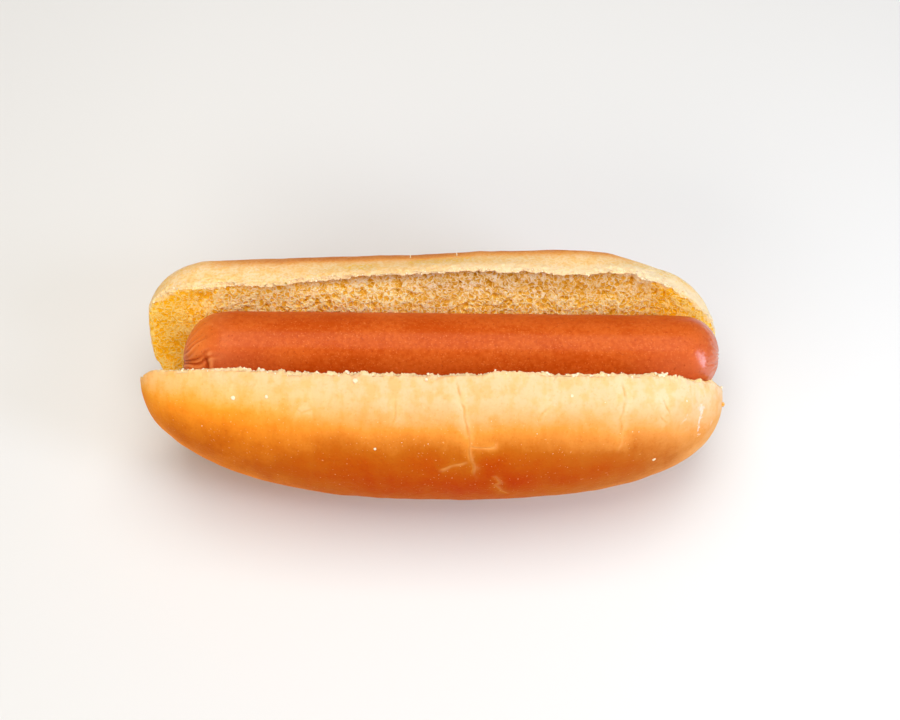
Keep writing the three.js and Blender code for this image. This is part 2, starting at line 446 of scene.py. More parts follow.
# %% [markdown]
# ## The frayed rims
# Where the slice meets the crust, the crumb hangs out as a whitish fringe of small teeth. Torn
# crumb ends in round knobs with sharp valleys between them. Voronoi noise gives that too: a
# knob's height falls with the square of the distance to its seed, and its cell's number makes
# some knobs tall and others low.

# %% Helper for knobs
def knobs(points, size, seed):
    nearest, _, number = nearest_seeds(points, size, (seed * 6.1, seed * 13.3, seed * 3.9))
    return np.maximum((1 - 1.5 * nearest**2) * (0.35 + 0.65 * number), 0)


tell("the tallest of a few knobs", knobs(points[:900], 1.5, 4).max())

# %% [markdown]
# The rim is found by its normals: it faces the slit and upwards at once. The knobs move its
# points toward the slit. The dome's teeth rise a little too, while the base's hang down, with
# longer ones right of the middle. At the dome's left end the cut was cleaner, so it stays calm.

# %% Fray the rims
fringe = np.clip(2.2 * toward_slit * upward, 0, 1) * ease(-3.5, -1.5, above - rim) * near_slit
frayed = np.flatnonzero(fringe > 0.03)
clean_cut = on_dome * ease(-48, -58, x)
hanging = on_base * ease(2, 16, x) * ease(52, 38, x)
large_teeth = hanging[frayed] * np.maximum(lumps(points[frayed], 3.4, 15) + 0.25, 0)
coarse_teeth = knobs(points[frayed], size=1.5, seed=4)
fine_teeth = knobs(points[frayed], size=0.75, seed=5)
tooth = 0.9 * coarse_teeth + 0.5 * fine_teeth + 1.2 * large_teeth
tooth *= fringe[frayed] * (1 - 0.7 * clean_cut[frayed])
tell(f"{len(frayed)} frayed points, the longest tooth", tooth.max())

# %% [markdown]
# The crust beside the rim is torn too, over a millimetre or three, and there the same knobs make
# it rough. On the base two patches of tiny holes show through the crust behind its rim.

# %% Rough the torn band
crust = 1 - cut_face
at_rim = ease(-3.0, -1.0, above - rim)
torn_reach = 1.6 + 1.8 * lumps(points, 4.0, 6) + on_base * 2.4 * ease(44, 60, x)
torn = ease(torn_reach + 2.2, torn_reach - 1.0, across) * at_rim
torn *= crust * ease(-0.2, 0.4, upward)
torn_here = np.flatnonzero(torn > 0.02)
coarse_torn = 0.4 * knobs(points[torn_here], size=1.3, seed=8)
torn_knobs = coarse_torn + 0.16 * knobs(points[torn_here], size=0.6, seed=9) - 0.15
roughened = torn[torn_here] * torn_knobs * np.where(on_base, 1.5, 1.0)[torn_here]
left_holes = bump(x, -20, 5) * bump(across, 4.5, 2.2)
middle_holes = bump(x, 2, 11) * bump(across, 6.2, 2.6)
holes = on_base * at_rim * np.maximum(left_holes, middle_holes)
tell(f"{len(torn_here)} torn points, the roughest", roughened.max())

# %% [markdown]
# Past that, the crust only has soft dents, and the creases: a narrow groove with a raised lip on
# one side, which wanders a little from its line. The dried smears stand a hair above the crust.

# %% Dent the crust, cut the creases and raise the smears
GROOVE_DEPTH = 0.34
LIP_HEIGHT = 0.1
SMEAR_HEIGHT = 0.05
relief = crust * 0.16 * lumps(points, 9.0, 7)
relief += crust * 0.13 * lumps(points * np.array([1, 0.22, 0.22]), 3.2, 14)
relief[torn_here] += roughened
folded = np.stack([x, above, across], axis=1)
wander = np.stack([lumps(points, 2.6, 10), lumps(points, 2.6, 11), np.zeros(len(points))], axis=1)
groove = lip = halo = smear = np.zeros(len(points))
for strength, line in CREASES:
    distance, run = along_line(folded + 0.5 * wander, line)
    shifted, _ = along_line(folded + 0.5 * wander - np.array([0.6, 0, 0]), line)
    fading = on_dome * strength * ease(0, 0.1, run) * ease(1, 0.8, run)
    groove = np.maximum(groove, fading * bump(distance, 0, 0.22))
    lip = np.maximum(lip, fading * bump(shifted, 0, 0.4))
    halo = np.maximum(halo, fading * bump(distance, 0, 2.0))
relief += crust * (LIP_HEIGHT * lip - GROOVE_DEPTH * groove)
for strength, line in SMEARS:
    distance, run = along_line(folded + 0.6 * wander, line)
    width = 0.35 + 0.6 * ease(0.55, 0.1, run)
    smear = np.maximum(smear, on_dome * strength * bump(distance, 0, width))
relief += SMEAR_HEIGHT * smear
tell("deepest groove", GROOVE_DEPTH * groove.max())

# %% [markdown]
# ## The rims' wavy lines
# No slice runs dead straight. Along the bun the base's rim rises and sinks by a millimetre or two,
# and so does the crown of crust behind it. The table gives both rises at places along the bun, in
# millimetres, and the cut face and the crust stretch with them. The dome's rim leans a little
# farther over the frankfurter.

# %% Bend the rims
BASE_RISES = [
    (-78, 0, 0), (-70.0, 0.6, 1.2), (-63.2, 0.2, 1.6), (-56.3, -0.3, 0.5), (-49.4, -0.9, 0.1),
    (-42.6, -1.1, -0.3), (-35.7, -0.5, -0.3), (-28.8, 0.2, -0.3), (-22.0, 0.8, -0.2), (-8.2, 1.2, 0.0),
    (-1.4, 1.7, 0.1), (12.4, 1.8, 0.6), (26.1, 1.4, 0.8), (33.0, 0.5, 1.1), (39.8, 0.5, 1.4),
    (46.7, 1.5, 1.5), (53.6, 2.2, 0.6), (60.4, 0.8, 0.3), (67.3, 0.0, 0.8), (74.2, -0.8, 0.8),
    (78, 0, 0),
]
DOME_LEAN = 0.8
places, rim_rises, crown_rises = zip(*BASE_RISES)
to_crown = ease(0, 9, across)
rise = np.interp(x, places, rim_rises) * (1 - to_crown) + np.interp(x, places, crown_rises) * to_crown
rise *= on_base * ease(-14, -3, above - rim)
lean_over = DOME_LEAN * on_dome * ease(-4.5, -0.5, above - rim) * ease(7, 1, across) * ease(72, 58, x)
tell("the base's rim rises by up to", rise.max())

# %% [markdown]
# All of the moves are now added up, each along its own direction, and nothing goes below the
# floor. Pits and dents go along the normal, and teeth toward the slit and up or down.

# %% Move the points
inward = np.zeros(len(points))
inward[dug] = pit_depth
moved = points + normals * (relief - inward)[:, None]
slit_way = np.stack([np.zeros(len(points)), -side * np.cos(angle), side * np.sin(angle)], axis=1)
up_way = np.stack([np.zeros(len(points)), np.sin(angle), np.cos(angle)], axis=1)
lift = np.where(on_dome, 0.45, -0.15)[:, None]
moved[frayed] += tooth[:, None] * (0.8 * slit_way + lift * up_way)[frayed]
moved += rise[:, None] * up_way + lean_over[:, None] * slit_way
moved[:, 2] = np.maximum(moved[:, 2], 0)
write_points(bread_mesh, moved)
tell("farthest move", np.linalg.norm(moved - points, axis=1).max())

# %% [markdown]
# ## How brown the crust baked
# The browning goes from 0, cream, to 1, deep brown, and it follows the turn round each half. It
# fades toward the ends, beside the creases, where the crust has lifted, and where the base's torn
# rim runs round the ends. Each line below adds or takes away one of these.

# %% Work out the browning
DOME_BROWNING = [
    (0, 0.0), (13, 0.07), (20, 0.25), (27, 0.44), (35, 0.67), (45, 0.85), (60, 0.97), (72, 0.9),
    (100, 0.74), (150, 0.43), (180, 0.3),
]
BASE_BROWNING = [
    (0, 0.0), (12, 0.0), (16, 0.05), (20, 0.17), (25, 0.46), (30, 0.6), (46, 0.74), (60, 0.88),
    (72, 0.88), (100, 0.78), (150, 0.45), (180, 0.3),
]


def browning_at(turn, stops):
    turns, browns = zip(*stops)
    return np.interp(turn, turns, browns)


turn = turn_round(x, across, above, side)
share = np.clip(x / HALF_LENGTH, -1, 1)
back_strip = bump(turn, 28, 5)
end_paleness = np.where(share > 0, 0.6, np.where(on_dome, 0.35, 0.7))
end_rims = np.maximum(ease(46, 60, x), ease(-56, -66, x))
to_right_end = 0.05 * ease(18, 36, x) + 0.09 * ease(58, 70, x)
baked = np.where(on_dome, browning_at(turn, DOME_BROWNING), browning_at(turn, BASE_BROWNING))
baked *= 1 - end_paleness * np.abs(share) ** 5
# Less brown toward the dome's left end: partly a paler bake and partly painted warm bounce light on its
# lower left.
baked *= 1 - 0.24 * ease(-5, -55, x) * on_dome
baked -= 0.03 * ease(10, 50, x) * on_dome * ease(8, 20, turn)
baked -= to_right_end * on_dome * ease(18, 36, turn)
baked += 0.12 * bump(x, -28, 24) * on_base * back_strip
baked *= 1 - 0.85 * on_base * end_rims * ease(60, 32, turn)
baked += 0.07 * lumps(points, 8.0, 12) * ease(5, 25, turn)
baked -= 0.13 * halo
print("browning from", round(float(baked.min()), 2), "to", round(float(baked.max()), 2))

# %% [markdown]
# ## Where the colours change
# The finish also needs to know where the crumb, its pits, the fringe and the creases are. The
# base has a whitish border along the right part of its rim, a band of thin, unbrowned skin behind
# it, and a golden line on its crown. The dome is golden at its ends. The crumb is yellow there;
# farther down the cut faces it is yellower with painted warm bounce light from the frankfurter,
# close under the base's rim it is dim with painted shade, and at the left it is a little lighter
# with painted light.

# %% Store the masks
pit = np.zeros(len(points))
pit[dug] = openness * cut_face[dug]
below = above - rim
border_reach = 3.4 - 2.0 * ease(54, 64, x)
right_border = ease(46, 57, x)
on_cut = cut_face * ease(-border_reach, 2 - border_reach, below + 1.3 * lumps(points, 2.5, 13))
on_torn = torn * np.maximum(right_border, 0.65 * ease(-4, 14, x))
deep_shade = between_ends * ease(-58, -26, x) * ease(-5.2, -2.8, below)
soft_shade = 0.85 * ease(-14, 6, x) * ease(66, 56, x) * ease(-11, -4.5, below)
shaded = np.maximum(deep_shade, soft_shade) * ease(-0.5, -1.3, below)
lit = ease(2, -25, x) * ease(-68, -52, x) * ease(-3, -6, below)
back_line = 0.95 * on_base * back_strip * ease(-62, -40, x) * ease(64, 44, x)
right_gold = 0.7 * ease(69, 75, x) * ease(12, 26, turn)
left_gold = ease(-5, -55, x) * (1 - 0.7 * ease(16, 6, turn) * ease(-64, -54, x))
# Its last term, yellower farther down the cut faces near the frankfurter, is painted warm bounce light.
yellow = np.max([
    ease(-40, -72, x), ease(50, 62, x),
    0.3 * ease(0, -30, x), 0.35 * ease(20, 42, x), 0.2 * ease(-5, -10, below),
], axis=0)
dome_pale = 0.1 + 0.3 * ease(12, 74, x)
base_pale = 0.26 + 0.28 * ease(-5, -50, x) + 0.69 * ease(34, 62, x)
masks = {
    "crumb": np.clip(cut_face + 0.42 * torn, 0, 1),
    "pit": pit,
    "fringe": np.clip(fringe + 0.5 * torn, 0, 1),
    "border": on_base * np.maximum(right_border * on_cut, on_torn),
    "shaded": shaded * on_base * cut_face,
    "lit": lit * on_base * cut_face,
    "yellow": yellow * cut_face,
    "holes": holes,
    # The groove and lip masks colour the creases with painted shade and a painted highlight.
    "groove": groove,
    "lip": lip,
    "smear": smear,
    "baked": baked,
    "golden": np.maximum(back_line, on_dome * np.maximum(left_gold, right_gold)),
    "band": on_base * crust * ease(42, 28, turn),
    "pale": np.where(on_dome, dome_pale, base_pale),
}
write_masks(bread_mesh, masks)
bread_mesh.shade_smooth()
bread = add_object("bread", bread_mesh)
print("masks stored:", ", ".join(masks))

# %% [markdown]
# ## Writing a finish as sums
# A finish is a tree of nodes. Writing each node out takes many lines and hides the idea, so one
# small class wraps a socket: plain arithmetic on it adds Math nodes, and any other node comes
# from its method `node`, which sets the node's settings first and its sockets after them. The
# reflected forms let a number stand first, as in 1 - mask.

# %% The socket wrapper
class Wire:
    def __init__(self, tree, socket=None):
        self.tree = tree
        self.socket = socket

    def node(self, kind, settings, sockets, output=0):
        made = self.tree.nodes.new(kind)
        for name, value in settings.items():
            if name == "stops":
                ramp = made.color_ramp.elements
                while len(ramp) < len(value):
                    ramp.new(0.5)
                for stop, (place, colour) in zip(ramp, value):
                    stop.position = place
                    stop.color = (*colour, 1)
            else:
                setattr(made, name, value)
        for name, value in sockets.items():
            if isinstance(value, Wire):
                self.tree.links.new(value.socket, made.inputs[name])
            else:
                made.inputs[name].default_value = value
        return Wire(self.tree, made.outputs[output]) if len(made.outputs) else made

    def math(self, operation, first, second):
        return self.node("ShaderNodeMath", {"operation": operation}, {0: first, 1: second})

    def __add__(self, other):
        return self.math("ADD", self, other)

    def __sub__(self, other):
        return self.math("SUBTRACT", self, other)

    def __rsub__(self, other):
        return self.math("SUBTRACT", other, self)

    def __mul__(self, other):
        return self.math("MULTIPLY", self, other)

    __radd__ = __add__
    __rmul__ = __mul__


# %% [markdown]
# A few kinds of node come up in every finish: noise in the object's own space, so the grain
# stays in place, a mask between two limits, a value stored on the points, a mix of two colours,
# and a bump. A list of tints lays one colour over another: a MIX hides what is under it, and a
# MULTIPLY deepens it but keeps its pattern. Sizes of noise are in millimetres.

# %% Helpers for a finish
def grain(wire, size_mm, detail=3.0, stretch=(1, 1, 1)):
    place = wire.node("ShaderNodeTexCoord", {}, {}, "Object")
    scaled = wire.node("ShaderNodeMapping", {}, {"Vector": place, "Scale": stretch})
    sockets = {"Vector": scaled, "Scale": MM / size_mm, "Detail": detail}
    return wire.node("ShaderNodeTexNoise", {}, sockets)


def mask(value, low, high):
    settings = {"interpolation_type": "SMOOTHSTEP"}
    return value.node("ShaderNodeMapRange", settings, {"Value": value, "From Min": low, "From Max": high})


def stored(wire, name):
    return wire.node("ShaderNodeAttribute", {"attribute_name": name}, {}, "Fac")


def blend(share, first, second, way="MIX"):
    settings = {"data_type": "RGBA", "blend_type": way}
    first, second = (hue if isinstance(hue, Wire) else (*hue, 1) for hue in (first, second))
    return share.node("ShaderNodeMix", settings, {0: share, 6: first, 7: second}, 2)


def tinted(colour, tints):
    for share, way, tint in tints:
        colour = blend(share, colour, tint, way)
    return colour


def raised(height, strength, distance):
    return height.node("ShaderNodeBump", {}, {"Strength": strength, "Distance": distance, "Height": height})


def new_finish(name):
    material = bpy.data.materials.new(name)
    material.use_nodes = True
    material.node_tree.nodes.clear()
    return material, Wire(material.node_tree)


def close_finish(wire, sockets):
    surface = wire.node("ShaderNodeBsdfPrincipled", {}, sockets)
    wire.node("ShaderNodeOutputMaterial", {}, {"Surface": surface})


# %% [markdown]
# ## The bread's finish
# The crust runs from pale cream at the rim to deep brown on the crown. The browning is the
# stored value, with blotches of noise so that its edge is never a line. Over it come the gold of
# the ends, the pale bloom, the thin band with its pores and grit, the creases, darker in the groove
# with painted shade and lighter on the lip with a painted highlight, tiny pale dots, and the
# dried smears.

# %% The crust's colour
bread_finish, wire = new_finish("baked_bread")
blotch = grain(wire, 14.0, 4.0)
mottle = grain(wire, 3.0, 4.0)
speckle = grain(wire, 0.7, 3.0)
streak = grain(wire, 2.6, 3.0, (1, 0.3, 0.3))
torn_grain = grain(wire, 0.8, 4.0)
browning = stored(wire, "baked") + (blotch - 0.5) * 0.16 + (mottle - 0.5) * 0.1 + (streak - 0.5) * 0.1
browning = browning + (speckle - 0.5) * 0.07
band = stored(wire, "band")
smeared = stored(wire, "smear")
crust_colour = wire.node("ShaderNodeValToRGB", {"stops": [
    (0.0, (0.91, 0.54, 0.28)),
    (0.2, (0.9, 0.435, 0.17)),
    (0.45, (0.83, 0.295, 0.034)),
    (0.72, (0.53, 0.125, 0.003)),
    (1.0, (0.48, 0.045, 0.001)),
]}, {"Fac": browning})
golden_share = stored(wire, "golden") * (0.45 + mask(browning, 0.05, 0.35) * 0.55)
pale_share = stored(wire, "pale") * (1 - browning) * (1 - browning) * 0.9
blister = mask(mottle * 0.6 + streak * 0.4, 0.45, 0.6) * (1 - browning) * 0.75
pore = mask(speckle, 0.58, 0.7) * (0.35 + band * 0.3)
dots = mask(grain(wire, 0.55, 1.0), 0.7, 0.78) * 0.35
dried = mask(smeared * 0.7 + (grain(wire, 0.9, 4.0) - 0.5) * 1.5, 0.2, 0.8)
crust_colour = tinted(crust_colour, [
    (golden_share, "MULTIPLY", (1.0, 0.83, 0.08)),
    (pale_share, "MIX", (0.95, 0.73, 0.48)),
    (band * (1 - browning) * 0.34, "MIX", (0.94, 0.76, 0.36)),
    (blister, "MULTIPLY", (1.0, 0.88, 0.6)),
    (pore, "MULTIPLY", (0.93, 0.78, 0.5)),
    (mask(torn_grain, 0.48, 0.58) * band * 0.75, "MULTIPLY", (0.97, 0.84, 0.56)),
    # The groove's darker colour is painted shade in the crease, and the lip's lighter one a painted
    # highlight.
    (stored(wire, "groove") * 0.65, "MIX", (0.76, 0.31, 0.05)),
    (stored(wire, "lip") * 0.2, "MIX", (0.93, 0.55, 0.22)),
    (dots, "MIX", (0.95, 0.62, 0.30)),
    (dried * mask(smeared, 0.05, 0.4) * 0.75, "MIX", (0.88, 0.71, 0.58)),
])
print("nodes for the crust:", len(bread_finish.node_tree.nodes))

# %% [markdown]
# The crumb is cream on the strands and golden in the pits, and the deeper a point lies, the darker
# its colour: painted shade in the bubbles. Voronoi noise adds bubbles finer than the mesh can hold,
# warped a little, so that their walls aren't straight, with the same painted shade. Toward the
# bun's ends the crumb turns yellow, farther down it takes painted warm bounce light from the
# frankfurter, along the rims it is whitish, and close under the base's rim it is in painted shade.

# %% The crumb's colour
place = wire.node("ShaderNodeTexCoord", {}, {}, "Object")
warp_settings = {"Vector": place, "Scale": 700.0, "Detail": 2.0}
warp_noise = wire.node("ShaderNodeTexNoise", {}, warp_settings, "Color")
warp_step = wire.node("ShaderNodeVectorMath", {"operation": "SCALE"}, {0: warp_noise, "Scale": 0.0016})
warped_place = wire.node("ShaderNodeVectorMath", {"operation": "ADD"}, {0: place, 1: warp_step})


def foam(size_mm, feature="DISTANCE_TO_EDGE", output="Distance"):
    sockets = {"Vector": warped_place, "Scale": MM / size_mm}
    return wire.node("ShaderNodeTexVoronoi", {"feature": feature}, sockets, output)


yellowness = stored(wire, "yellow")
cell_number = mask(foam(1.3, "F1", "Color"), 0.25, 0.75)
open_cells = mask(foam(1.3), 0.03, 0.24) * (cell_number * 0.6 + 0.4)
open_cells = open_cells * (1 - yellowness * 0.3)
cells = mask(foam(0.7), 0.03, 0.24)
clump = grain(wire, 3.5, 2.0)
web = stored(wire, "pit") * 0.75 + open_cells * 0.55 + (cells - 0.5) * 0.22
depth = web + (clump - 0.5) * 0.6 + (speckle - 0.5) * 0.3
depth = depth - yellowness * 0.08 - stored(wire, "lit") * 0.1
# Deeper points take darker, more golden colours: painted shade in the bubbles.
crumb_colour = wire.node("ShaderNodeValToRGB", {"stops": [
    (0.0, (1.0, 0.88, 0.56)),
    (0.2, (0.96, 0.72, 0.31)),
    (0.4, (0.88, 0.53, 0.11)),
    (0.65, (0.78, 0.4, 0.04)),
    (1.0, (0.62, 0.27, 0.012)),
]}, {"Fac": depth})
yellow_share = yellowness * (0.5 + mask(depth, 0.08, 0.42) * 0.5)
fringe_share = mask(stored(wire, "fringe") + mottle * 0.4, 0.25, 0.65) * (0.9 - yellowness * 0.35)
crumb_colour = tinted(crumb_colour, [
    (yellow_share, "MULTIPLY", (1.0, 0.86, 0.12)),
    (yellow_share * 0.85, "MIX", (1.0, 0.46, 0.01)),
    (fringe_share, "MIX", (0.92, 0.66, 0.38)),
    (stored(wire, "shaded") * 0.9, "MULTIPLY", (0.71, 0.61, 0.66)),
])
print("nodes with the crumb:", len(bread_finish.node_tree.nodes))

# %% [markdown]
# Crust and crumb meet along a line that noise breaks up, and the whitish border and the two
# patches of tiny holes lie over both. The bump is fine grain on the crust, and cells in the crumb.
# Light enters bread a little way and comes back warmer, which is subsurface scattering, and bread
# hardly shines at all.

# %% Finish the bread
hole_patch = mask(stored(wire, "holes") * (0.55 + mottle * 0.9), 0.3, 0.6)
hole_share = hole_patch * mask(speckle, 0.49, 0.55)
crumb_share = mask(stored(wire, "crumb") + (mottle - 0.5) * 0.3, 0.3, 0.7)
bread_colour = tinted(crust_colour, [
    (crumb_share, "MIX", crumb_colour),
    (stored(wire, "border") * (0.5 + mottle * 0.7), "MIX", (0.9, 0.7, 0.44)),
    (hole_share * 0.85, "MIX", (0.92, 0.52, 0.07)),
])
crust_height = grain(wire, 1.6, 5.0) * 0.7 + speckle * 0.5 + streak * 0.9
crumb_height = grain(wire, 0.45, 3.0) * 0.3 - cells * 0.3 - open_cells * 0.7
bread_height = crust_height * (1 - crumb_share) + crumb_height * crumb_share
bread_height = bread_height + torn_grain * band * 0.8 - hole_share * 0.5
close_finish(wire, {
    "Base Color": bread_colour,
    "Roughness": 0.55 + (mottle - 0.5) * 0.2 + crumb_share * 0.35,
    "Normal": raised(bread_height, strength=0.7, distance=0.0004),
    "Specular IOR Level": 0.02,
    "Subsurface Weight": 0.18,
    "Subsurface Radius": (1.0, 0.65, 0.3),
    "Subsurface Scale": 0.0009,
})
bread_mesh.materials.clear()
bread_mesh.materials.append(bread_finish)
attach(bread, "root")
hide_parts("bun")
print("bread finished")

# %% [markdown]
# ## The frankfurter
# Its skin is smooth and taut along the middle. At the ends the casing was gathered, which left
# creases that run out of the tip, deeper near it, and one short dent across. The same kind of
# skin is laid on the solid and smoothed. Its ends are divided for the creases, the right one
# finer, because a gloss shows every face.

# %% The frankfurter's own directions
FRANK_CENTRE = np.array([4.59, 2.62, 36.13])
FRANK_TILT = 0.02094
FRANK_HALF = 71.4


def frank_place(points):
    """How far a point is along the axis, above it, and in front of it."""
    x = points[:, 0] - FRANK_CENTRE[0]
    z = points[:, 2] - FRANK_CENTRE[2]
    run = x * math.cos(FRANK_TILT) - z * math.sin(FRANK_TILT)
    rise = x * math.sin(FRANK_TILT) + z * math.cos(FRANK_TILT)
    sway = points[:, 1] - FRANK_CENTRE[1]
    return run, rise, -sway


frank_mesh = lay_new_skin(merged_copy("frankfurter"), voxel_mm=0.65)
frank_shape = bmesh.new()
frank_shape.from_mesh(frank_mesh)
smooth_out(frank_shape, frank_shape.verts[:], rounds=10)
run, _, _ = frank_place(face_centres(frank_shape))
divide(frank_shape, run < -57, cuts=1)
run, _, _ = frank_place(face_centres(frank_shape))
divide(frank_shape, run > 65, cuts=2)
smooth_out(frank_shape, frank_shape.verts[:], rounds=2)
bmesh.ops.triangulate(frank_shape, faces=frank_shape.faces)
frank_shape.to_mesh(frank_mesh)
frank_shape.free()
print("frankfurter triangles:", len(frank_mesh.polygons))

# %% [markdown]
# Each crease has an angle round the axis, a length along it and a depth. It is narrow, with a
# low ridge beside it, and it wanders, as a fold in a casing does. At the left the casing sags, so
# the creases meet below the axis. The right tip only has fine pleats.

# %% Gather the ends
LEFT_CREASES = [
    (-28, 7, 0.25), (-12, 8, 0.3), (0, 10, 0.45), (11, 7, 0.25), (24, 11, 0.5), (38, 12, 0.5),
    (55, 7, 0.3), (72, 9, 0.4), (128, 9, 0.3), (170, 9, 0.3), (-50, 9, 0.3), (-80, 8, 0.3),
    (-118, 8, 0.3),
]
RIGHT_CREASES = [
    (8, 4, 0.15), (22, 5, 0.2), (36, 4, 0.18), (50, 6, 0.22), (62, 4.5, 0.2), (78, 6, 0.22),
    (95, 5, 0.2), (115, 4, 0.18), (140, 4, 0.18), (-20, 4, 0.18), (-50, 4, 0.18), (-90, 4, 0.18),
    (-150, 4, 0.18),
]


def end_creases(points, spoke, creases, from_tip):
    """How far each point sinks into the creases that run out of the tip."""
    sunk = np.zeros(len(points))
    reach = np.hypot(*spoke)
    turn = np.degrees(np.arctan2(spoke[1], spoke[0]))
    for number, (place, length, depth) in enumerate(creases):
        bend = 9 * lumps(points, 5.0, 20 + number)
        gap = (turn + bend - place + 180) % 360 - 180
        arc = np.radians(gap) * np.maximum(reach, 0.8)
        width = 0.22 + 0.03 * from_tip
        strength = ease(length, length * 0.25, from_tip) * ease(0.3, 2.2, reach)
        sunk += depth * strength * (bump(arc, 0, width) - 0.35 * bump(arc, 2.2 * width, width))
    return sunk


DENT_DEPTH = 0.8
points, normals = read_mesh(frank_mesh)
run, rise, sway = frank_place(points)
turn = np.degrees(np.arctan2(sway, rise))
from_left = FRANK_HALF + run
from_right = FRANK_HALF - run
droop = ease(12, 0, from_left)
sunk = end_creases(points, (rise + 1.6 * droop, sway - 3.1 * droop), LEFT_CREASES, from_left)
sunk += end_creases(points, (rise, sway), RIGHT_CREASES, from_right)
dent_place = from_left - 7.0 + 0.9 * lumps(points, 4.0, 40)
dent = bump(turn, 58, 20) * (bump(dent_place, 0, 0.5) - 0.4 * bump(dent_place, 1.3, 0.6))
sunk += DENT_DEPTH * dent
reach = np.hypot(rise, sway)
tip_ways = np.stack([run * 0.08, rise / reach, sway / reach], axis=1)
sunk += 0.09 * ease(64, 68, run) * lumps(tip_ways, 0.1, 43)
sunk += 0.05 * lumps(points, 6.0, 41) + 0.02 * lumps(points, 1.5, 42)
write_points(frank_mesh, points - normals * sunk[:, None])
bounce_lit_front = ease(-25, 60, turn) * ease(170, 120, turn)
masks = {
    # Sunk creases and the dent darken in the finish: painted shade.
    "gathered": np.clip(sunk * 1.6, 0, 1) * ease(64, 60, run),
    # Raised ridges beside the left creases lighten in the finish: a painted highlight.
    "ridge": np.clip(-sunk * 7, 0, 1) * ease(-56, -62, run),
    "right_tip": ease(61, 68, run),
    # The left tip turns a brighter orange in the finish: painted warm light.
    "left_tip": ease(-60, -68, run),
    # The front of each end is lighter in the finish: painted bounce light.
    "ends": bounce_lit_front * np.maximum(ease(-38, -62, run), ease(40, 62, run)),
}
write_masks(frank_mesh, masks)
frank_mesh.shade_smooth()
frankfurter = add_object("frankfurter_skin", frank_mesh)
tell("deepest end crease", sunk.max())

# %% [markdown]
# ## The frankfurter's finish
# Cooked sausage is an even reddish orange-brown with a fine mottling, tiny pale dots of fat and a
# few dark ones of spice. The fronts of the ends are lighter with painted bounce light, the left
# tip is a brighter orange with painted warm light, the end creases are darker with painted shade
# and their ridges lighter with a painted highlight. The skin is nearly dry, with a soft gloss, but
# the right tip is moist, so a clear coat gathers there.

# %% Sausage skin
skin_finish, wire = new_finish("sausage_skin")
broad = grain(wire, 9.0, 3.0, (0.5, 1, 1))
fine = grain(wire, 1.1, 4.0)
tiny = grain(wire, 0.45, 2.0)
mottling = mask(broad * 0.5 + fine * 0.5, 0.35, 0.65)
fat = mask(tiny, 0.60, 0.70) * 0.4
spice = mask(grain(wire, 0.8, 1.0), 0.66, 0.74) * 0.5
skin_colour = tinted((0.50, 0.062, 0.002), [
    (mottling, "MIX", (0.62, 0.110, 0.012)),
    # Painted bounce light on the front of the ends.
    (stored(wire, "ends") * 0.45, "MIX", (0.72, 0.17, 0.06)),
    # Painted warm light on the left tip.
    (stored(wire, "left_tip") * 0.5, "MIX", (0.88, 0.26, 0.04)),
    (fat, "MIX", (0.78, 0.24, 0.06)),
    (spice, "MIX", (0.40, 0.040, 0.003)),
    # Painted shade in the end creases and the dent.
    (stored(wire, "gathered") * 0.6, "MIX", (0.42, 0.05, 0.008)),
    # A painted highlight on the ridges beside the left creases.
    (stored(wire, "ridge") * 0.55, "MIX", (0.95, 0.36, 0.12)),
])
close_finish(wire, {
    "Base Color": skin_colour,
    "Roughness": 0.42 + (fine - 0.5) * 0.2,
    "Normal": raised(fine * 0.35 + tiny * 0.3, strength=0.35, distance=0.0002),
    "Specular IOR Level": 0.12,
    "Specular Tint": (1.0, 0.5, 0.2, 1),
    "Coat Weight": 0.07 + stored(wire, "right_tip") * 0.8,
    "Coat Roughness": 0.22,
    "Coat IOR": 1.7,
    "Subsurface Weight": 0.12,
    "Subsurface Radius": (1.0, 0.3, 0.1),
    "Subsurface Scale": 0.0015,
})
frank_mesh.materials.clear()
frank_mesh.materials.append(skin_finish)
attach(frankfurter, "root")
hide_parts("frankfurter")
print("frankfurter finished")

# %% [markdown]
# ## Tufts of crumb
# Small torn tufts sit along both rims. Each is a little ball of 20 faces, or 80 where it is large,
# pulled out of shape by noise and pressed into the rim, and they are all one mesh. Their places are
# drawn from the frayed points, with a seeded draw, so every run gives the same ones.

# %% Helpers for small crumbs
SEED = 11
draw = np.random.default_rng(SEED)


def add_crumb(shape, centre, way, radius, flatness, detail):
    made = bmesh.ops.create_icosphere(shape, subdivisions=detail, radius=radius)
    verts = made["verts"]
    seed = Vector(draw.uniform(-50, 50, 3))
    for vert in verts:
        vert.co *= 1 + 0.45 * noise.noise(vert.co / radius * 1.3 + seed)
        vert.co.z *= flatness
    turned = way.to_track_quat("Z", "Y").to_matrix().to_4x4()
    turned.translation = centre
    bmesh.ops.transform(shape, matrix=turned, verts=verts)


def finish_crumbs(shape, name, material):
    mesh = mesh_from(shape, name)
    mesh.shade_smooth()
    mesh.materials.append(material)
    piece = add_object(name, mesh)
    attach(piece, "root")
    print(name, "has", len(mesh.polygons), "faces")


print("crumbs are drawn with seed", SEED)

# %% [markdown]
# Most tufts are smaller than a millimetre. At a few places on the dome's rim a larger clump tore
# out, so a group of bigger ones stands there: each place along the bun has a count.

# %% Place the tufts
SMALL_TUFTS = 110
BIG_TUFTS = [(59.2, 6), (57.6, 3), (36.0, 4), (28.5, 4), (76.5, 3), (-1.0, 3), (-22.0, 3), (-44.0, 3)]
bread_points, bread_normals = read_mesh(bread_mesh)
tuft_shape = bmesh.new()
candidates = np.flatnonzero((fringe > 0.5) & (above > rim - 2.5))


